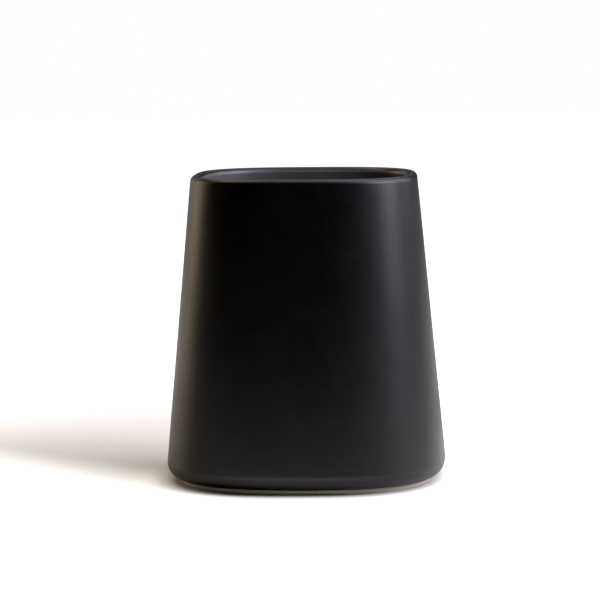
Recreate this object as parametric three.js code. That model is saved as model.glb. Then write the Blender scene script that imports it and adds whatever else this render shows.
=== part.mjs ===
// An empty candle jar: an open stoneware pot that tapers upwards, square in plan with bowed sides
// and soft corners, and glazed everywhere but on the foot ring that it stands on.
//
// The jar is built up as it is made. The fired clay body comes first. Three coats of glaze are then
// fused to it: one over the outside and the lip, one poured inside, and one brushed into the recess
// under the base. Each coat is a skin of its own, a hair's breadth off the clay.
//
// Every piece is a section turned about the upright axis, whose rings are then pushed out from a
// circle to the jar's plan.
//
// Units are millimetres, +Z is up, and the origin is the middle of the foot ring, on the table.

import * as THREE from "three";

// The outside. The wall is a straight line in section, and both widths are where that line, carried
// on past the rounded edges, meets the table and the plane of the rim.
const height = 97;
const baseWidth = 90;
const rimWidth = 71.6;
const baseTurnRadius = 4.6;
const baseTurnHeight = 5.9;

// How square the plan is: the exponent of its superellipse, where 2 is a circle and 10 is a square.
const baseSquareness = 2.65;
const rimSquareness = 3.05;

// Thicknesses. The wall and the floor are measured through the clay and the coats on both sides.
const wallThickness = 3.6;
const floorThickness = 4;
const coatThickness = 0.5;
const coatClearance = 0.05;

// The foot ring, the recess that it encloses, and the turn between the inside wall and the floor.
const footWidth = 4.4;
const footInset = 0.5;
const footBevel = 0.3;
const recessDepth = 2;
const recessMargin = 0.3;
const floorTurnRadius = 9;

// Where the coats end, as angles round the section from straight outwards: the glaze line under the
// outside edge, and the seam just inside the lip where the outer coat meets the one inside.
const glazeLine = THREE.MathUtils.degToRad(-80);
const lipSeam = THREE.MathUtils.degToRad(150);
const lipSeamWidth = THREE.MathUtils.degToRad(2);

// How finely the surface is cut into facets.
const segments = 64;
const arcStep = THREE.MathUtils.degToRad(18);
const ringSpacing = 45;

// What follows from the dimensions above. The wall leans inwards from upright by the angle lean.
const lean = Math.atan2((baseWidth - rimWidth) / 2, height);
const cover = coatThickness + coatClearance;
const lipRadius = wallThickness / 2;
const floorHeight = recessDepth + floorThickness;

// A point in the section, at height z and at a depth into the wall from its outside face.
function inWall(z, depth) {
  return new THREE.Vector2(baseWidth / 2 - z * Math.tan(lean) - depth / Math.cos(lean), z);
}

// The centres of the section's round turns. An arc about one of them runs tangent to the wall.
const baseTurn = inWall(baseTurnHeight, baseTurnRadius);
const lip = inWall(height - lipRadius, lipRadius);
const floorTurn = inWall(floorHeight + floorTurnRadius, wallThickness + floorTurnRadius);

// The points of an arc, from one angle to another: its two ends, and every whole step between them.
// Arcs about one centre so have their points side by side, and reach the full width and height.
function arc(centre, radius, from, to) {
  const way = Math.sign(to - from);
  const angles = [from];
  for (let step = Math.floor(from * way / arcStep) + 1; step * arcStep < to * way; step++) {
    angles.push(step * arcStep * way);
  }
  angles.push(to);
  return angles.map((angle) => new THREE.Vector2(
    centre.x + radius * Math.cos(angle),
    centre.y + radius * Math.sin(angle),
  ));
}

// Adds points up the long straight stretches, so that the plan can change shape along them.
function withRings(points) {
  const found = [points[0]];
  for (let i = 1; i < points.length; i++) {
    const rise = Math.abs(points[i].y - points[i - 1].y);
    const rings = Math.max(1, Math.round(rise / ringSpacing));
    for (let ring = 1; ring <= rings; ring++) {
      found.push(points[i - 1].clone().lerp(points[i], ring / rings));
    }
  }
  return found;
}

// How far out the plan reaches at an angle and a height, for a half width of 1.
function reach(angle, z) {
  const power = THREE.MathUtils.lerp(baseSquareness, rimSquareness, z / height);
  const sum = Math.abs(Math.cos(angle)) ** power + Math.abs(Math.sin(angle)) ** power;
  return sum ** (-1 / power);
}

// Splits each four-cornered facet into two triangles. The cut slopes the same way whichever way the
// section runs past it, so the two faces on either side of a thin gap stay parallel.
function facets(points) {
  const corners = [];
  for (let segment = 0; segment < segments; segment++) {
    for (let i = 0; i < points.length - 1; i++) {
      const here = segment * points.length + i;
      const beside = here + points.length;
      if (points[i + 1].y < points[i].y) {
        corners.push(here, beside, beside + 1, here, beside + 1, here + 1);
      } else {
        corners.push(here, beside, here + 1, beside, beside + 1, here + 1);
      }
    }
  }
  return corners;
}

// Turns a section about the upright axis, and pushes its rings out to the plan.
function turned(section) {
  const points = withRings(section);
  const geometry = new THREE.LatheGeometry(points, segments);
  geometry.setIndex(facets(points));
  geometry.rotateX(Math.PI / 2);
  const places = geometry.getAttribute("position");
  for (let i = 0; i < places.count; i++) {
    const x = places.getX(i);
    const y = places.getY(i);
    const swell = reach(Math.atan2(y, x), places.getZ(i));
    places.setXY(i, x * swell, y * swell);
  }
  geometry.computeVertexNormals();
  return geometry;
}

// The foot ring's two walls: the outer one is set in a little from where the glaze ends.
const clayRadius = baseTurnRadius - cover;
const footOuter = baseTurn.x + clayRadius * Math.cos(glazeLine) - footInset;
const footInner = footOuter - footWidth;
const underside = recessDepth + cover;

// The fired clay: foot ring, wall, rounded lip and floor, in one piece.
function clayBody() {
  const shoulder = baseTurn.y + clayRadius * Math.sin(glazeLine);
  return turned([
    new THREE.Vector2(0, underside),
    new THREE.Vector2(footInner, underside),
    new THREE.Vector2(footInner, footBevel),
    new THREE.Vector2(footInner + footBevel, 0),
    new THREE.Vector2(footOuter - footBevel, 0),
    new THREE.Vector2(footOuter, footBevel),
    new THREE.Vector2(footOuter, shoulder),
    ...arc(baseTurn, clayRadius, glazeLine, lean),
    ...arc(lip, lipRadius - cover, lean, lipSeam),
    ...arc(lip, lipRadius - cover, lipSeam, Math.PI + lean).slice(1),
    ...arc(floorTurn, floorTurnRadius + cover, lean, -Math.PI / 2),
    new THREE.Vector2(0, floorHeight - cover),
  ]);
}

// The coat outside, from the glaze line up the wall, over the lip and a little way down inside.
function outerCoat() {
  const glazeBack = baseTurnRadius - coatThickness;
  const start = arc(baseTurn, baseTurnRadius, glazeLine, lean);
  return turned([
    ...start,
    ...arc(lip, lipRadius, lean, lipSeam),
    ...arc(lip, lipRadius - coatThickness, lipSeam, lean),
    ...arc(baseTurn, glazeBack, lean, glazeLine),
    start[0],
  ]);
}

// The coat inside, from just under the lip down the wall and across the floor.
function linerCoat() {
  const seamEnd = lipSeam + lipSeamWidth;
  return turned([
    new THREE.Vector2(0, floorHeight - coatThickness),
    ...arc(floorTurn, floorTurnRadius + coatThickness, -Math.PI / 2, lean),
    ...arc(lip, lipRadius - coatThickness, Math.PI + lean, seamEnd),
    ...arc(lip, lipRadius, seamEnd, Math.PI + lean),
    ...arc(floorTurn, floorTurnRadius, lean, -Math.PI / 2),
    new THREE.Vector2(0, floorHeight),
  ]);
}

// The coat under the base, in the recess that the foot ring encloses.
function undersideCoat() {
  const edge = footInner - recessMargin;
  return turned([
    new THREE.Vector2(0, recessDepth),
    new THREE.Vector2(edge, recessDepth),
    new THREE.Vector2(edge, recessDepth + coatThickness),
    new THREE.Vector2(0, recessDepth + coatThickness),
  ]);
}

const bareClay = new THREE.MeshStandardMaterial({ color: 0xcfc2ab, roughness: 0.9 });
const satinBlack = new THREE.MeshStandardMaterial({ color: 0x151417, roughness: 0.4 });

const jar = new THREE.Group();

function addPiece(name, geometry, material) {
  const piece = new THREE.Mesh(geometry, material);
  piece.name = name;
  jar.add(piece);
}

addPiece("clay_body", clayBody(), bareClay);
addPiece("outer_glaze", outerCoat(), satinBlack);
addPiece("liner_glaze", linerCoat(), satinBlack);
addPiece("underside_glaze", undersideCoat(), satinBlack);

export default jar;
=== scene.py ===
# %% [markdown]
# # An empty candle jar in satin black glaze
#
# The jar is cast stoneware: a pot that leans inwards to its mouth, square in plan with bowed sides
# and soft corners. Its fired clay is covered by three coats of glaze, one outside, one inside and one
# under the base, and the clay shows only on the foot ring that the jar stands on.
#
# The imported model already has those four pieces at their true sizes, cut into coarse facets. This
# lesson makes a fine piece for each of them, in the same place. Then it gives the glaze and the clay
# their finishes, and lights the jar as a studio would.

import math

import bmesh
import bpy
from mathutils import Matrix, Vector


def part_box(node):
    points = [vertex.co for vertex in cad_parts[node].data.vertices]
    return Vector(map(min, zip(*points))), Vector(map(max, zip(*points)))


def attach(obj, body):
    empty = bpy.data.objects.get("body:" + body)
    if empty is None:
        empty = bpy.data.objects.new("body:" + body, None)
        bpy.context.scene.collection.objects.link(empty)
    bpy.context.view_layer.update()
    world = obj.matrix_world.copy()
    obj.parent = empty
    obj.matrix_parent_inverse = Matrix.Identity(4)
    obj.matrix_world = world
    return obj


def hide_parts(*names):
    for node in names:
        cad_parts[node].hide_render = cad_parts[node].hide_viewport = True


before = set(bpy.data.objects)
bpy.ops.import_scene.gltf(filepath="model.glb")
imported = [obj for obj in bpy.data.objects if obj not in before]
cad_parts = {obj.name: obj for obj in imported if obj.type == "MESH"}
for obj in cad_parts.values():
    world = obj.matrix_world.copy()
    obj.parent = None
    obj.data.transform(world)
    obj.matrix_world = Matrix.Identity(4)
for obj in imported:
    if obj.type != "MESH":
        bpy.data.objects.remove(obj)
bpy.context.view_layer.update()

# %% [markdown]
# ## Sizes
#
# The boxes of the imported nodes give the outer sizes. What a box can't say is how the section runs
# inside it: how far the wall leans, how thick it is and how its edges turn. Those few sizes are named
# here, and every piece is drawn from them, so the fine pieces fit round each other as the coarse ones
# do.

# %% Sizes of the section
MM = 0.001

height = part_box("outer_glaze")[1].z
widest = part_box("outer_glaze")[1].x
recess_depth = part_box("underside_glaze")[0].z
recess_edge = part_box("underside_glaze")[1].x

drawn_in, drawn_over = 9.2 * MM, 97 * MM
lean = math.atan2(drawn_in, drawn_over)
wall_thickness = 3.6 * MM
floor_thickness = 4 * MM
coat = 0.5 * MM
clearance = 0.05 * MM
base_turn_radius = 4.6 * MM
base_turn_height = 5.9 * MM
floor_turn_radius = 9 * MM
foot_width = 4.4 * MM
foot_inset = 0.5 * MM
foot_edge = 0.3 * MM
glaze_line = math.radians(-80)
lip_seam = math.radians(150)
base_squareness = 2.65
rim_squareness = 3.05

lip_radius = wall_thickness / 2
cover = coat + clearance
floor_height = recess_depth + floor_thickness
print("the wall leans", round(math.degrees(lean), 1), "degrees from upright")

# %% [markdown]
# ## Drawing a section
#
# A potter cuts a section through a pot to see its wall. Here a section is a list of points, each a
# distance from the upright axis and a height. A turn is an arc about a centre that lies inside the
# wall, and a straight stretch is cut into short lengths, so that the surface has even faces to bend
# with. Faces that nobody sees, between a coat and the clay, get fewer points.

# %% Turns and straight stretches
fine_step = math.radians(3)
hidden_step = math.radians(9)
ring_spacing = 3 * MM

turn_reach = widest - base_turn_radius + base_turn_radius / math.cos(lean)
wall_at_table = turn_reach + base_turn_height * math.tan(lean)


def in_wall(z, depth):
    """The point at a height, and at a depth into the wall from its outside face."""
    return Vector((wall_at_table - z * math.tan(lean) - depth / math.cos(lean), z))


def arc(centre, radius, start, end, step=fine_step):
    """Points round a turn, evenly spaced, with both of its ends."""
    count = max(2, round(abs(end - start) / step))
    angles = [start + (end - start) * i / count for i in range(count + 1)]
    return [centre + radius * Vector((math.cos(a), math.sin(a))) for a in angles]


def evened(points):
    """The same line, with its long stretches cut into even lengths."""
    found = [points[0]]
    for here, there in zip(points, points[1:]):
        cuts = max(1, round((there - here).length / ring_spacing))
        found += [here.lerp(there, i / cuts) for i in range(1, cuts + 1)]
    return found


base_turn = in_wall(base_turn_height, base_turn_radius)
lip = in_wall(height - lip_radius, lip_radius)
floor_turn = in_wall(floor_height + floor_turn_radius, wall_thickness + floor_turn_radius)
print("lip centre, in mm:", [round(v * 1000, 2) for v in lip])

# %% [markdown]
# ## The four sections
#
# The clay's section starts on the axis under the base, runs out to the foot ring, up the wall, over
# the lip, down inside and back to the axis. The two big coats follow it at a hair's distance. Melted
# glaze draws itself into a rounded bead where it stops, so the outer coat ends in one above the foot,
# and so does the coat in the recess.

# %% Sections
clay_turn_radius = base_turn_radius - cover
foot_outer = base_turn.x + clay_turn_radius * math.cos(glaze_line) - foot_inset
foot_inner = foot_outer - foot_width
underside = recess_depth + cover
shoulder = base_turn.y + clay_turn_radius * math.sin(glaze_line)
upright, inwards, downwards = math.pi / 2, math.pi, -math.pi / 2
print("foot ring, in mm:", round(foot_inner * 1000, 2), "to", round(foot_outer * 1000, 2))


def clay_section():
    outer_edge = Vector((foot_outer - foot_edge, foot_edge))
    inner_edge = Vector((foot_inner + foot_edge, foot_edge))
    return [
        Vector((0, underside)),
        Vector((foot_inner, underside)),
        *arc(inner_edge, foot_edge, inwards, inwards + upright, math.radians(15)),
        *arc(outer_edge, foot_edge, downwards, 0, math.radians(15)),
        Vector((foot_outer, shoulder)),
        *arc(base_turn, clay_turn_radius, glaze_line, lean, hidden_step),
        *arc(lip, lip_radius - cover, lean, inwards + lean, hidden_step),
        *arc(floor_turn, floor_turn_radius + cover, lean, downwards, hidden_step),
        Vector((0, floor_height - cover)),
    ]


def outer_section():
    along = Vector((math.cos(glaze_line), math.sin(glaze_line)))
    bead = base_turn + (base_turn_radius - coat / 2) * along
    front = [
        *arc(bead, coat / 2, glaze_line - inwards, glaze_line, math.radians(20)),
        *arc(base_turn, base_turn_radius, glaze_line, lean)[1:],
        *arc(lip, lip_radius, lean, lip_seam),
    ]
    back = [
        *arc(lip, lip_radius - coat, lip_seam, lean, hidden_step),
        *arc(base_turn, base_turn_radius - coat, lean, glaze_line, hidden_step),
    ]
    return front + back


def liner_section():
    return [
        Vector((0, floor_height - coat)),
        *arc(floor_turn, floor_turn_radius + coat, downwards, lean, hidden_step),
        *arc(lip, lip_radius - coat, inwards + lean, lip_seam, hidden_step),
        *arc(lip, lip_radius, lip_seam, inwards + lean),
        *arc(floor_turn, floor_turn_radius, lean, downwards),
        Vector((0, floor_height)),
    ]


def underside_section():
    bead = Vector((recess_edge - coat / 2, recess_depth + coat / 2))
    return [
        Vector((0, recess_depth)),
        *arc(bead, coat / 2, downwards, upright, math.radians(20)),
        Vector((0, recess_depth + coat)),
    ]


# %% [markdown]
# ## Helpers for node trees
#
# A node tree is a small program. These helpers let it read like one: a node's inputs are given when
# it is added, and a sum or a range is a single line.

# %% Helpers for node trees
def add(tree, kind, inputs=None, **settings):
    """Adds a node. Each input is given as a value or as the socket that feeds it."""
    made = tree.nodes.new(kind)
    for name, value in settings.items():
        setattr(made, name, value)
    for key, value in (inputs or {}).items():
        if isinstance(value, bpy.types.NodeSocket):
            tree.links.new(value, made.inputs[key])
        else:
            made.inputs[key].default_value = value
    return made


def calc(tree, operation, *values):
    """Adds a Math node and returns its result."""
    return add(tree, "ShaderNodeMath", dict(enumerate(values)), operation=operation).outputs[0]


def remap(tree, value, start, end, low, high, smooth=False):
    """Adds a Map Range node that is clamped, and returns its result."""
    kind = "SMOOTHSTEP" if smooth else "LINEAR"
    values = {"Value": value, "From Min": start, "From Max": end, "To Min": low, "To Max": high}
    return add(tree, "ShaderNodeMapRange", values, interpolation_type=kind).outputs["Result"]


def apart(tree, vector):
    """The x, y and z of a vector."""
    return add(tree, "ShaderNodeSeparateXYZ", {0: vector}).outputs


def together(tree, x, y, z):
    """A vector with this x, y and z."""
    return add(tree, "ShaderNodeCombineXYZ", {0: x, 1: y, 2: z}).outputs[0]


# %% [markdown]
# ## A tree that turns a section into a pot
#
# A plain pot would be a section spun about its axis. This one is square in plan, and squarer at the
# rim than at the base, so each ring has to be pushed out to its own superellipse. Geometry Nodes suit
# it, because the rule is the same for every point and all four pieces follow it.
#
# The tree lays a flat grid with one column for each point of the section, and one row for each step
# round the axis. It bends the grid round, moving each of its points to its place on the pot.

# %% The tree's inputs
def tree_with_inputs():
    tree = bpy.data.node_groups.new("turned to the plan", "GeometryNodeTree")
    kinds = {
        "Section": "NodeSocketGeometry",
        "Steps round": "NodeSocketInt",
        "Height": "NodeSocketFloat",
        "Base squareness": "NodeSocketFloat",
        "Rim squareness": "NodeSocketFloat",
        "Unevenness": "NodeSocketFloat",
        "Unevenness size": "NodeSocketFloat",
        "Edge height": "NodeSocketFloat",
        "Edge wander": "NodeSocketFloat",
        "Edge wander size": "NodeSocketFloat",
        "Crisp angle": "NodeSocketFloat",
        "Seed": "NodeSocketFloat",
        "Material": "NodeSocketMaterial",
    }
    for name, kind in kinds.items():
        tree.interface.new_socket(name, in_out="INPUT", socket_type=kind)
    tree.interface.new_socket("Piece", in_out="OUTPUT", socket_type="NodeSocketGeometry")
    return tree, tree.nodes.new("NodeGroupInput").outputs


# %% The grid and the plan
def plan_reach(tree, angle, z, sizes):
    """How far out the plan reaches at an angle and a height, for a half width of 1."""
    power = remap(tree, z, 0.0, sizes["Height"], sizes["Base squareness"], sizes["Rim squareness"])
    across = calc(tree, "POWER", calc(tree, "ABSOLUTE", calc(tree, "COSINE", angle)), power)
    along = calc(tree, "POWER", calc(tree, "ABSOLUTE", calc(tree, "SINE", angle)), power)
    return calc(tree, "POWER", calc(tree, "ADD", across, along), calc(tree, "DIVIDE", -1.0, power))


def bent_grid(tree, sizes):
    """The section turned round the axis, still open along one seam."""
    points = add(tree, "GeometryNodeAttributeDomainSize", {0: sizes["Section"]}, component="MESH")
    columns = points.outputs["Point Count"]
    rows = calc(tree, "ADD", sizes["Steps round"], 1.0)
    counts = {"Size X": 1.0, "Size Y": 1.0, "Vertices X": columns, "Vertices Y": rows}
    grid = add(tree, "GeometryNodeMeshGrid", counts).outputs["Mesh"]
    place = add(tree, "GeometryNodeInputPosition").outputs[0]
    across, along, flat = apart(tree, place)
    last = calc(tree, "SUBTRACT", columns, 1.0)
    column = calc(tree, "ROUND", calc(tree, "MULTIPLY", calc(tree, "ADD", across, 0.5), last))
    angle = calc(tree, "MULTIPLY", calc(tree, "ADD", along, 0.5), math.tau)
    sampled = add(
        tree, "GeometryNodeSampleIndex",
        {"Geometry": sizes["Section"], "Value": place, "Index": column},
        data_type="FLOAT_VECTOR", domain="POINT",
    )
    out, unused, up = apart(tree, sampled.outputs[0])
    reach = calc(tree, "MULTIPLY", out, plan_reach(tree, angle, up, sizes))
    x = calc(tree, "MULTIPLY", reach, calc(tree, "COSINE", angle))
    y = calc(tree, "MULTIPLY", reach, calc(tree, "SINE", angle))
    return add(tree, "GeometryNodeSetPosition", {0: grid, "Position": together(tree, x, y, up)}).outputs[0]


# %% [markdown]
# A cast pot is never quite true, so a slow noise draws the wall in by a few hundredths of a
# millimetre. The noise is read from the place in space, so two coats that touch are drawn in alike.
# A quicker noise lifts the lowest edge of a coat here and there, as the wiped edge of a glaze wanders.

# %% Unevenness
def uneven(tree, sizes, mesh):
    place = add(tree, "GeometryNodeInputPosition").outputs[0]
    x, y, z = apart(tree, place)
    slow = add(
        tree, "ShaderNodeTexNoise",
        {"W": sizes["Seed"], "Scale": calc(tree, "DIVIDE", 1.0, sizes["Unevenness size"]), "Detail": 1.0},
        noise_dimensions="4D",
    ).outputs[0]
    quick = add(
        tree, "ShaderNodeTexNoise",
        {"W": sizes["Seed"], "Scale": calc(tree, "DIVIDE", 1.0, sizes["Edge wander size"]), "Detail": 2.0},
        noise_dimensions="4D",
    ).outputs[0]
    outwards = add(tree, "ShaderNodeVectorMath", {0: together(tree, x, y, 0.0)}, operation="NORMALIZE")
    pull = calc(tree, "MULTIPLY", calc(tree, "MULTIPLY", slow, sizes["Unevenness"]), -1.0)
    drawn = add(tree, "ShaderNodeVectorMath", {0: outwards.outputs[0], "Scale": pull}, operation="SCALE")
    high = calc(tree, "MULTIPLY", sizes["Edge height"], 3.0)
    near_edge = remap(tree, z, sizes["Edge height"], high, 1.0, 0.0, smooth=True)
    rise = calc(tree, "MULTIPLY", calc(tree, "MULTIPLY", quick, near_edge), sizes["Edge wander"])
    lift = together(tree, 0.0, 0.0, rise)
    shift = add(tree, "ShaderNodeVectorMath", {0: drawn.outputs[0], 1: lift}, operation="ADD").outputs[0]
    return add(tree, "GeometryNodeSetPosition", {0: mesh, "Offset": shift}).outputs[0]


# %% [markdown]
# The whole tree closes the seam and the poles, makes the surface uneven, and shades it smooth except
# where two faces meet at a real corner. It ends as plain faces that wear the piece's material.

# %% The whole tree
seam_gap = 1e-6


def turning_tree():
    tree, sizes = tree_with_inputs()
    closed = add(tree, "GeometryNodeMergeByDistance", {0: bent_grid(tree, sizes), "Distance": seam_gap})
    cast = uneven(tree, sizes, closed.outputs[0])
    smooth = add(tree, "GeometryNodeSetShadeSmooth", {0: cast, "Shade Smooth": True}).outputs[0]
    bend = add(tree, "GeometryNodeInputMeshEdgeAngle").outputs["Unsigned Angle"]
    corner = calc(tree, "GREATER_THAN", bend, sizes["Crisp angle"])
    crisp = add(
        tree, "GeometryNodeSetShadeSmooth",
        {0: smooth, "Selection": corner, "Shade Smooth": False}, domain="EDGE",
    ).outputs[0]
    real = add(tree, "GeometryNodeRealizeInstances", {0: crisp}).outputs[0]
    finished = add(tree, "GeometryNodeSetMaterial", {0: real, "Material": sizes["Material"]}).outputs[0]
    tree.links.new(finished, tree.nodes.new("NodeGroupOutput").inputs["Piece"])
    return tree


turning = turning_tree()
print("the turning tree has", len(turning.nodes), "nodes")

# %% [markdown]
# ## Turning a piece
#
# The section goes in as a mesh of points and edges, and the tree's inputs are set by their
# identifiers. The result is read back as a plain mesh, with no modifier left on it. Its normals are
# pointed outwards, and its volume is printed: a closed body with its faces out has a positive one.

# %% Turn a section
steps_round = 256
plan = {
    "Steps round": steps_round,
    "Height": height,
    "Base squareness": base_squareness,
    "Rim squareness": rim_squareness,
    "Unevenness": 0.12 * MM,
    "Unevenness size": 32 * MM,
    "Edge height": 1.5 * MM,
    "Edge wander size": 4.5 * MM,
    "Crisp angle": math.radians(40),
    "Seed": 1.0,
}


def close_and_face_out(mesh):
    """Points the normals outwards, and returns the volume that the faces enclose."""
    work = bmesh.new()
    work.from_mesh(mesh)
    bmesh.ops.recalc_face_normals(work, faces=work.faces)
    if work.calc_volume(signed=True) < 0:
        bmesh.ops.reverse_faces(work, faces=work.faces)
    volume = work.calc_volume(signed=True)
    open_edges = sum(not edge.is_manifold for edge in work.edges)
    work.to_mesh(mesh)
    work.free()
    return volume, open_edges


def turn(name, section, material, **sizes):
    """Makes one piece from its section."""
    points = evened(section)
    line = bpy.data.meshes.new(name + "_line")
    places = [(p.x, 0, p.y) for p in points]
    line.from_pydata(places, [(i, i + 1) for i in range(len(places) - 1)], [])
    drawn = bpy.data.objects.new(name + "_line", line)
    bpy.context.scene.collection.objects.link(drawn)
    modifier = drawn.modifiers.new("turned", "NODES")
    modifier.node_group = turning
    values = {**plan, **sizes, "Material": material}
    for item in turning.interface.items_tree:
        if item.in_out == "INPUT" and item.name in values:
            modifier[item.identifier] = values[item.name]
    evaluated = drawn.evaluated_get(bpy.context.evaluated_depsgraph_get())
    mesh = bpy.data.meshes.new_from_object(evaluated)
    mesh.name = name
    bpy.data.objects.remove(drawn)
    bpy.data.meshes.remove(line)
    volume, open_edges = close_and_face_out(mesh)
    piece = bpy.data.objects.new(name, mesh)
    bpy.context.scene.collection.objects.link(piece)
    cubic_cm = round(volume * 1e6, 2)
    print(name, "faces:", len(mesh.polygons), "cubic cm:", cubic_cm, "open edges:", open_edges)
    return piece


# %% [markdown]
# ## Two effects that the finishes share
#
# Nothing fired in a kiln is one even colour. `Clouds` gives soft patches of a chosen size, and
# `Specks` gives separate small dots, some of them missing, as iron spots in clay and pinholes in
# glaze are. Each is a node group that puts out a mask from 0 to 1, and each finish places it with
# sizes of its own. The patterns read Object coordinates, which are metres here, so a size in the
# group is a real size on the jar.

# %% Shared groups: clouds and specks
def shader_group(name, inputs, outputs):
    """A new shader node group, with its inputs' starting values. Returns it with its two ends."""
    tree = bpy.data.node_groups.new(name, "ShaderNodeTree")
    for label, value in inputs.items():
        kind = "NodeSocketColor" if isinstance(value, tuple) else "NodeSocketFloat"
        tree.interface.new_socket(label, in_out="INPUT", socket_type=kind).default_value = value
    for label, kind in outputs.items():
        tree.interface.new_socket(label, in_out="OUTPUT", socket_type=kind)
    return tree, tree.nodes.new("NodeGroupInput").outputs, tree.nodes.new("NodeGroupOutput").inputs


def place_group(tree, group, **values):
    """Places a group in a material. Underscores in the names stand for spaces."""
    named = {key.replace("_", " "): value for key, value in values.items()}
    made = add(tree, "ShaderNodeGroup", node_tree=group)
    for key, value in named.items():
        if isinstance(value, bpy.types.NodeSocket):
            tree.links.new(value, made.inputs[key])
        else:
            made.inputs[key].default_value = value
    return made.outputs


def clouds_group():
    tree, given, result = shader_group(
        "Clouds", {"Size": 1 * MM, "Softness": 0.5, "Seed": 0.0}, {"Mask": "NodeSocketFloat"},
    )
    place = add(tree, "ShaderNodeTexCoord").outputs["Object"]
    scale = calc(tree, "DIVIDE", 1.0, given["Size"])
    noise = add(
        tree, "ShaderNodeTexNoise",
        {"Vector": place, "W": given["Seed"], "Scale": scale, "Detail": 4.0, "Roughness": 0.55},
        noise_dimensions="4D",
    ).outputs[0]
    low = calc(tree, "SUBTRACT", 0.5, calc(tree, "MULTIPLY", given["Softness"], 0.4))
    high = calc(tree, "ADD", 0.5, calc(tree, "MULTIPLY", given["Softness"], 0.4))
    tree.links.new(remap(tree, noise, low, high, 0.0, 1.0, True), result["Mask"])
    return tree


def specks_group():
    tree, given, result = shader_group(
        "Specks", {"Spacing": 2 * MM, "Radius": 0.2 * MM, "Share": 0.5, "Seed": 0.0},
        {"Mask": "NodeSocketFloat"},
    )
    place = add(tree, "ShaderNodeTexCoord").outputs["Object"]
    scale = calc(tree, "DIVIDE", 1.0, given["Spacing"])
    cells = add(
        tree, "ShaderNodeTexVoronoi",
        {"Vector": place, "W": given["Seed"], "Scale": scale, "Randomness": 1.0},
        voronoi_dimensions="4D",
    ).outputs
    # The distance is in cells, so a radius becomes a number of cells. Each cell's own colour decides
    # whether its speck is there, and how large it is.
    fate = add(tree, "ShaderNodeSeparateColor", {0: cells["Color"]}).outputs
    there = calc(tree, "LESS_THAN", fate[0], given["Share"])
    grown = calc(tree, "MULTIPLY", given["Radius"], remap(tree, fate[1], 0.0, 1.0, 0.4, 1.0))
    edge = calc(tree, "MULTIPLY", grown, scale)
    spot = remap(tree, cells["Distance"], calc(tree, "MULTIPLY", edge, 0.5), edge, 1.0, 0.0, True)
    tree.links.new(calc(tree, "MULTIPLY", spot, there), result["Mask"])
    return tree


clouds = clouds_group()
specks = specks_group()
print("shared groups:", clouds.name, "and", specks.name)

# %% [markdown]
# ## The satin black glaze
#
# A satin glaze is glass full of tiny crystals that grew as the kiln cooled. They scatter the light,
# so its highlights are broad and soft-edged. Close up it has an eggshell skin, faint cloudy patches
# where it is paler and duller, fine pale crystals, and a few pinholes where gas came through.
#
# Three coats wear this glaze, so its skin is a group too, which puts out a colour, a roughness and a
# height. On the lip the melt runs thin, and there it is smoother, and browner and lighter in colour; the
# lighter colour is partly the thin glaze and partly a painted highlight on the crest.

# %% The glaze's skin
thin_gloss = 0.04


def mix_colour(tree, share, first, second):
    values = {"Factor": share, 6: first, 7: second}
    return add(tree, "ShaderNodeMix", values, data_type="RGBA").outputs[2]


def glaze_group():
    tree, given, result = shader_group(
        "Satin glaze skin",
        {
            "Deep": (0.0008, 0.0007, 0.0008, 1.0),
            "Cloudy": (0.0030, 0.0026, 0.0027, 1.0),
            "Thin glaze and painted highlight": (0.0280, 0.0230, 0.0210, 1.0),
            "Crystal": (0.0300, 0.0280, 0.0300, 1.0),
            "Smooth": 0.34,
            "Rough": 0.42,
            "Thin from": 96.0 * MM,
            "Thin to": 97.0 * MM,
        },
        {"Colour": "NodeSocketColor", "Roughness": "NodeSocketFloat", "Height": "NodeSocketFloat"},
    )
    place = add(tree, "ShaderNodeTexCoord").outputs["Object"]
    z = apart(tree, place)[2]
    broad = place_group(tree, clouds, Size=9 * MM, Softness=0.9, Seed=1.0)["Mask"]
    small = place_group(tree, clouds, Size=1.4 * MM, Softness=0.7, Seed=2.0)["Mask"]
    eggshell = place_group(tree, clouds, Size=0.55 * MM, Softness=1.0, Seed=3.0)["Mask"]
    crystal = place_group(tree, specks, Spacing=0.8 * MM, Radius=0.12 * MM, Share=0.6, Seed=4.0)["Mask"]
    pinhole = place_group(tree, specks, Spacing=5 * MM, Radius=0.16 * MM, Share=0.35, Seed=5.0)["Mask"]

    patches = calc(tree, "MULTIPLY", broad, small)
    body = mix_colour(tree, patches, given["Deep"], given["Cloudy"])
    thin_lip_and_highlight = remap(tree, z, given["Thin from"], given["Thin to"], 0.0, 1.0, True)
    # The lip's lighter colour is partly thin glaze and partly a painted highlight on its crest.
    thin_and_highlit_lip_colour = mix_colour(tree, calc(tree, "MULTIPLY", thin_lip_and_highlight, small), body, given["Thin glaze and painted highlight"])
    starred = mix_colour(tree, calc(tree, "MULTIPLY", crystal, 0.5), thin_and_highlit_lip_colour, given["Crystal"])
    tree.links.new(starred, result["Colour"])

    even = remap(tree, calc(tree, "ADD", broad, small), 0.0, 2.0, given["Smooth"], given["Rough"])
    smoother = calc(tree, "MULTIPLY", thin_lip_and_highlight, thin_gloss)
    tree.links.new(calc(tree, "SUBTRACT", even, smoother), result["Roughness"])

    # Heights are in thousandths of a millimetre: the skin, the crystals' bumps and the pinholes.
    skin = calc(tree, "ADD", calc(tree, "MULTIPLY", eggshell, 7.0), calc(tree, "MULTIPLY", small, 10.0))
    raised = calc(tree, "ADD", skin, calc(tree, "MULTIPLY", crystal, 3.0))
    tree.links.new(calc(tree, "SUBTRACT", raised, calc(tree, "MULTIPLY", pinhole, 40.0)), result["Height"])
    return tree


glaze_skin = glaze_group()
print("glaze skin made, with", len(glaze_skin.nodes), "nodes")

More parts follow.
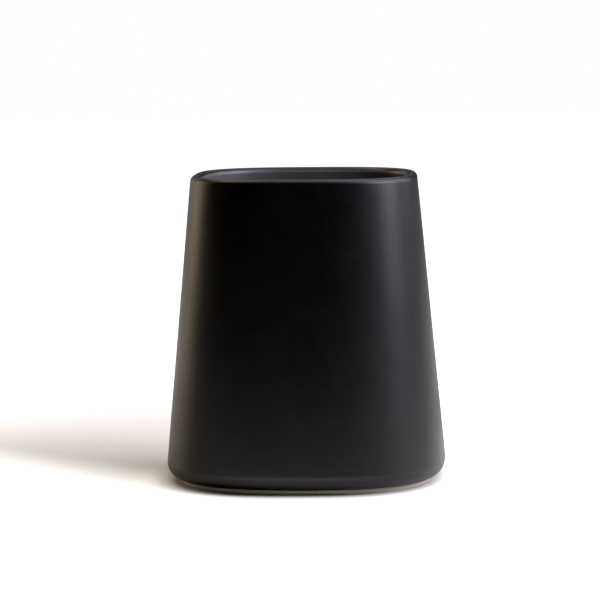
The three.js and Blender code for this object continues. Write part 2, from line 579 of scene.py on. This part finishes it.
# %% [markdown]
# ## Glaze materials
#
# Each coat has a material of its own, because each was put on in its own way. The outside was
# sprayed and is the smoothest. The inside was poured thick, and it is a little rougher. Its colour is
# set greyer, as painted light: it stands for light that reaches into the mouth. The recess underneath
# was brushed, and it is the roughest. The shader is the Principled BSDF, with the index of a glass: the
# glaze is black in the colour under the gloss.

# %% Glaze materials
MICRON = 1e-6
glass_index = 1.52


def new_material(name):
    material = bpy.data.materials.new(name)
    material.use_nodes = True
    shader = material.node_tree.nodes["Principled BSDF"]
    return material, material.node_tree, shader


def glaze_material(name, **skin_values):
    material, tree, shader = new_material(name)
    skin = place_group(tree, glaze_skin, **skin_values)
    tree.links.new(skin["Colour"], shader.inputs["Base Color"])
    tree.links.new(skin["Roughness"], shader.inputs["Roughness"])
    bump = add(tree, "ShaderNodeBump", {"Height": skin["Height"], "Strength": 1.0, "Distance": MICRON})
    tree.links.new(bump.outputs[0], shader.inputs["Normal"])
    shader.inputs["IOR"].default_value = glass_index
    return material


sprayed_glaze = glaze_material("satin black glaze, sprayed")
# Painted light: the inside's grey colour stands for light that reaches into the mouth.
poured_glaze_greyed_as_painted_light = glaze_material(
    "satin black glaze, poured, greyed as painted light", Smooth=0.38, Rough=0.46,
    Deep=(0.092, 0.088, 0.092, 1.0), Cloudy=(0.122, 0.117, 0.121, 1.0),
)
brushed_glaze = glaze_material("satin black glaze, brushed", Smooth=0.42, Rough=0.58)
print("three glazes made")

# %% [markdown]
# ## The bare clay of the foot
#
# Unglazed stoneware is a pale, dry, sandy stone. The glaze was wiped off the foot before the firing,
# so that it wouldn't stick to the kiln's shelf. It is cream with warmer clouds, and has fine grit and
# small iron specks. Just under the glaze it is darkened brown, as painted shade in the crevice below
# the glaze's edge, and it stays pale at the edge that it stands on.

# %% Bare clay
def clay_material(name):
    material, tree, shader = new_material(name)
    place = add(tree, "ShaderNodeTexCoord").outputs["Object"]
    z = apart(tree, place)[2]
    cloud = place_group(tree, clouds, Size=4 * MM, Softness=0.8, Seed=11.0)["Mask"]
    sand = place_group(tree, clouds, Size=0.3 * MM, Softness=0.6, Seed=12.0)["Mask"]
    iron = place_group(tree, specks, Spacing=1.6 * MM, Radius=0.22 * MM, Share=0.3, Seed=13.0)["Mask"]
    cream = mix_colour(tree, cloud, (0.89, 0.84, 0.71, 1.0), (0.82, 0.76, 0.62, 1.0))
    sandy = mix_colour(tree, calc(tree, "MULTIPLY", sand, 0.35), cream, (0.68, 0.61, 0.48, 1.0))
    # Painted shade: the clay is darkened just below the glaze's edge, where the crevice lies in shade.
    painted_shade_under_glaze = remap(tree, z, 0.7 * MM, 1.4 * MM, 0.0, 0.7, True)
    shaded_under_glaze = mix_colour(tree, painted_shade_under_glaze, sandy, (0.38, 0.29, 0.18, 1.0))
    spotted = mix_colour(tree, calc(tree, "MULTIPLY", iron, 0.8), shaded_under_glaze, (0.16, 0.09, 0.05, 1.0))
    tree.links.new(spotted, shader.inputs["Base Color"])
    tree.links.new(remap(tree, sand, 0.0, 1.0, 0.78, 0.95), shader.inputs["Roughness"])
    grit = calc(tree, "SUBTRACT", calc(tree, "MULTIPLY", sand, 35.0), calc(tree, "MULTIPLY", iron, 20.0))
    bump = add(tree, "ShaderNodeBump", {"Height": grit, "Strength": 1.0, "Distance": MICRON})
    tree.links.new(bump.outputs[0], shader.inputs["Normal"])
    return material


bare_clay = clay_material("bare stoneware clay")
print("clay made")

# %% [markdown]
# ## The four pieces
#
# Each piece stands for its coarse node, rides on the jar's one body, and wears the finish listed for
# it. Only the outside coat, which ends in view, has a wandering edge.

# %% Turn the pieces
pieces = {
    "clay_body": ("stoneware_clay", clay_section, bare_clay, "bare_clay", 0.0),
    "outer_glaze": ("outside_coat", outer_section, sprayed_glaze, "black_glaze_outside", 0.12 * MM),
    "liner_glaze": ("inside_coat", liner_section, poured_glaze_greyed_as_painted_light, "black_glaze_inside", 0.0),
    "underside_glaze": ("recess_coat", underside_section, brushed_glaze, "black_glaze_underside", 0.0),
}
for node_name, (name, section, material, slot, wander) in pieces.items():
    piece = turn(name, section(), material, **{"Edge wander": wander})
    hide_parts(node_name)
    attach(piece, "root")

# %% [markdown]
# ## The camera
#
# The jar is seen from a little above its rim with a long lens, from almost a metre away, which keeps
# its sides close to their true lean. The jar is turned a few degrees from square, so the camera stands
# that far round to the right.

# %% Camera
stand_back = 0.9434
eye_height = 0.1527
round_to_right = math.radians(3.1)
heading = math.radians(3.21)
look_down = math.radians(5.83)
tilt = math.radians(-0.55)
lens_mm = 177.9

camera = bpy.data.objects.new("camera", bpy.data.cameras.new("camera"))
camera.data.lens = lens_mm
camera.data.clip_start, camera.data.clip_end = 0.05, 20
camera.location = (
    stand_back * math.sin(round_to_right),
    -stand_back * math.cos(round_to_right),
    eye_height,
)
aim = (
    Matrix.Rotation(heading, 3, "Z")
    @ Matrix.Rotation(math.pi / 2 - look_down, 3, "X")
    @ Matrix.Rotation(tilt, 3, "Z")
)
camera.rotation_euler = aim.to_euler()
bpy.context.scene.collection.objects.link(camera)
bpy.context.scene.camera = camera
print("camera at, in mm:", [round(v * 1000) for v in camera.location])

# %% [markdown]
# ## The table
#
# The jar stands on a plain white table, which the camera's exposure burns out to white. A white that
# strong can't come from the lamps alone without lighting the black glaze too, so the table gives off
# light of its own. How much depends on who looks, which the Light Path node tells. To the camera it is
# full everywhere except where it is held back to paint the jar's shadow and the dark line where the
# jar touches: both are painted shade, not cast by the lamps. To the jar it is weaker, and comes from
# behind, from the right and from in front, as from a table that the lamps light unevenly.

# %% The table's helpers
white_paint = (0.86, 0.855, 0.78, 1.0)


def fade(tree, place, ends, low, high):
    """A soft change from low to high between two places, given in millimetres."""
    start, end = ends
    return remap(tree, place, start * MM, end * MM, low, high, smooth=True)


def beside_jar(tree, x, y):
    """How far a place on the table is outside the jar's outline."""
    power = base_squareness
    across = calc(tree, "POWER", calc(tree, "ABSOLUTE", x), power)
    along = calc(tree, "POWER", calc(tree, "ABSOLUTE", y), power)
    reach = calc(tree, "POWER", calc(tree, "ADD", across, along), 1 / power)
    return calc(tree, "SUBTRACT", reach, widest)


print("table paint:", white_paint[:3])

# %% [markdown]
# The painted shadow lies behind the jar and runs off to the left, and its near edge slants back as it
# goes. The painted dark line of contact is widest at the middle of each side. It is narrower at the
# corners, where light comes in from two sides. Both are drawn by holding back the table's glow.

# %% The glow that the camera sees
full_glow = 1.15
shadow_slant = 0.8
shadow_near_edge = (-58, 16)
shadow_right_edge = (20, -40)
shadow_dies_away = (30, 260)
painted_contact_shade_start = -4.4 * MM
painted_contact_shade_at_middle, painted_contact_shade_at_corner = 14 * MM, 7 * MM
corner_begins = (15, 42)


# Painted shadow: the glow that the camera sees on the table is held back here, not shaded by the lamps.
def painted_shadow_on_table(tree, x, y, beside):
    past_side = calc(tree, "MINIMUM", calc(tree, "ADD", x, widest), 0.0)
    slant = calc(tree, "MULTIPLY", past_side, shadow_slant)
    behind = fade(tree, calc(tree, "ADD", y, slant), shadow_near_edge, 0.0, 1.0)
    leftwards = fade(tree, x, shadow_right_edge, 0.0, 1.0)
    nearby = fade(tree, beside, shadow_dies_away, 1.0, 0.0)
    return calc(tree, "MULTIPLY", calc(tree, "MULTIPLY", behind, leftwards), nearby)


def seen_glow(tree, x, y, beside):
    off_middle = calc(tree, "ABSOLUTE", x)
    painted_contact_shade_end = fade(tree, off_middle, corner_begins, painted_contact_shade_at_middle, painted_contact_shade_at_corner)
    # Painted contact shade: the glow falls to nothing at the foot, drawing the dark line where the jar
    # touches.
    clear_of_painted_contact_shade = remap(tree, beside, painted_contact_shade_start, painted_contact_shade_end, 0.0, 1.0, smooth=True)
    clear = calc(tree, "SUBTRACT", full_glow, painted_shadow_on_table(tree, x, y, beside))
    return calc(tree, "MULTIPLY", clear, clear_of_painted_contact_shade)


print("the contact's dark line ends", round(painted_contact_shade_at_middle * 1000), "mm out")

# %% [markdown]
# The glow on the jar is a band behind it that weakens far off, a patch beside it on the right, and a
# strip in front that starts clear of the foot, so that the foot keeps its own shade.

# %% The glow that lights the jar
glow_behind, glow_lost = 0.44, 0.24
glow_right = 0.4
glow_in_front, glow_further_out = 0.5, 0.15
behind_begins, lost_begins = (200, 300), (700, 900)
right_begins, right_ends = (42, 58), (80, 110)
front_begins, front_weakens = (-64, -46), (20, 160)


def glow_on_jar(tree, x, y, beside):
    behind = fade(tree, y, behind_begins, 0.0, glow_behind)
    lost = fade(tree, y, lost_begins, 0.0, glow_lost)
    right = fade(tree, x, right_begins, 0.0, glow_right)
    near = fade(tree, beside, right_ends, 1.0, 0.0)
    close = fade(tree, beside, front_weakens, glow_in_front, glow_further_out)
    in_front = fade(tree, y, front_begins, 1.0, 0.0)
    front = calc(tree, "MULTIPLY", close, in_front)
    sides = calc(tree, "MAXIMUM", calc(tree, "MULTIPLY", right, near), front)
    return calc(tree, "ADD", calc(tree, "SUBTRACT", behind, lost), sides)


def table_glow(tree):
    x, y, up = apart(tree, add(tree, "ShaderNodeTexCoord").outputs["Object"])
    beside = beside_jar(tree, x, y)
    by_camera = add(tree, "ShaderNodeLightPath").outputs["Is Camera Ray"]
    on_jar, seen = glow_on_jar(tree, x, y, beside), seen_glow(tree, x, y, beside)
    return remap(tree, by_camera, 0.0, 1.0, on_jar, seen)


print("glow on the jar, from behind:", glow_behind, "and from in front:", glow_in_front)

# %% [markdown]
# The table runs far back and to both sides, so that its end is lost in the white. It ends a little way
# in front of the jar, below the picture, because more of it there would light the front of the jar.

# %% Make the table
table_reach = 3.0
table_front = 0.2


def white_table():
    material, tree, shader = new_material("white table")
    shader.inputs["Base Color"].default_value = white_paint
    shader.inputs["Roughness"].default_value = 0.6
    shader.inputs["Emission Color"].default_value = (1.0, 1.0, 1.0, 1.0)
    tree.links.new(table_glow(tree), shader.inputs["Emission Strength"])
    left, right, front, back = -table_reach, table_reach, -table_front, table_reach
    corners = [(left, front, 0), (right, front, 0), (right, back, 0), (left, back, 0)]
    mesh = bpy.data.meshes.new("table")
    mesh.from_pydata(corners, [], [(0, 1, 2, 3)])
    mesh.materials.append(material)
    table = bpy.data.objects.new("table", mesh)
    bpy.context.scene.collection.objects.link(table)
    return table


table = white_table()
print("table, in metres:", [round(side, 2) for side in table.dimensions])

# %% [markdown]
# ## Lights
#
# What a black glaze shows is mostly what it reflects. Square panels close by on the right act as one
# soft box that wraps round the jar's side and makes the broad sheen there, and the strongest of them
# is low and square to that side. Four lamps stand further off behind. The one straight behind outlines
# the rim, two low ones on the left draw the brown edge, and a high one above them reaches into the
# mouth. In front the studio is dark, which leaves the front of the jar black.
#
# Each light is placed by two angles in degrees: how far round it is from the front, going to the right,
# and how far up.

# %% Lights
jar_middle = Vector((0, 0, 0.05))
panel_side, panel_away = 0.25, 0.45
lamp_side, lamp_away = 0.5, 1.0
cool_white = (0.88, 0.85, 1.0)
plain_white = (1.0, 0.95, 0.93)
warm_white = (1.0, 0.80, 0.56)


def lamp(name, round_to_right, up, side, away, watts, colour):
    """A square soft light, placed by its angle round from the front and its angle up."""
    light = bpy.data.lights.new(name, "AREA")
    light.shape = "SQUARE"
    light.size = side
    light.energy = watts
    light.color = colour
    turn_round, rise = math.radians(round_to_right), math.radians(up)
    flat = Vector((math.sin(turn_round), -math.cos(turn_round), 0)) * math.cos(rise)
    holder = bpy.data.objects.new(name, light)
    holder.location = jar_middle + away * (flat + Vector((0, 0, math.sin(rise))))
    holder.rotation_euler = (jar_middle - holder.location).to_track_quat("-Z", "Y").to_euler()
    holder.visible_camera = False
    bpy.context.scene.collection.objects.link(holder)


panel_watts = {
    (60, 35): 0.65,
    (80, 25): 1.15,
    (80, 50): 0.4,
    (80, 75): 0.6,
    (120, 25): 0.45,
    (120, 50): 0.25,
}
for (round_to_right, up), watts in panel_watts.items():
    lamp("right panel", round_to_right, up, panel_side, panel_away, watts, cool_white)

lamps = {
    "back": (180, 38, 0.65, plain_white),
    "back, left": (210, 14, 0.35, plain_white),
    "back left, low": (240, 14, 1.7, warm_white),
    "back left, high": (240, 64, 2.1, warm_white),
}
for name, (round_to_right, up, watts, colour) in lamps.items():
    lamp(name, round_to_right, up, lamp_side, lamp_away, watts, colour)
print("lights:", len(panel_watts) + len(lamps))

# %% [markdown]
# The world is white to the camera, so the table has no horizon, and dark to the jar. Colours are shown
# as they are, except that the darkest greys are taken down to black.

# %% World
deepest_black = 0.002
world = bpy.data.worlds.new("studio")
bpy.context.scene.world = world
world.use_nodes = True
seen = add(world.node_tree, "ShaderNodeLightPath").outputs["Is Camera Ray"]
background = world.node_tree.nodes["Background"]
background.inputs["Color"].default_value = (1.0, 1.0, 1.0, 1.0)
world.node_tree.links.new(seen, background.inputs["Strength"])

view = bpy.context.scene.view_settings
view.view_transform = "Standard"
view.use_curve_mapping = True
view.curve_mapping.black_level = (deepest_black, deepest_black, deepest_black)
print("view:", view.view_transform, "with its black at", deepest_black)
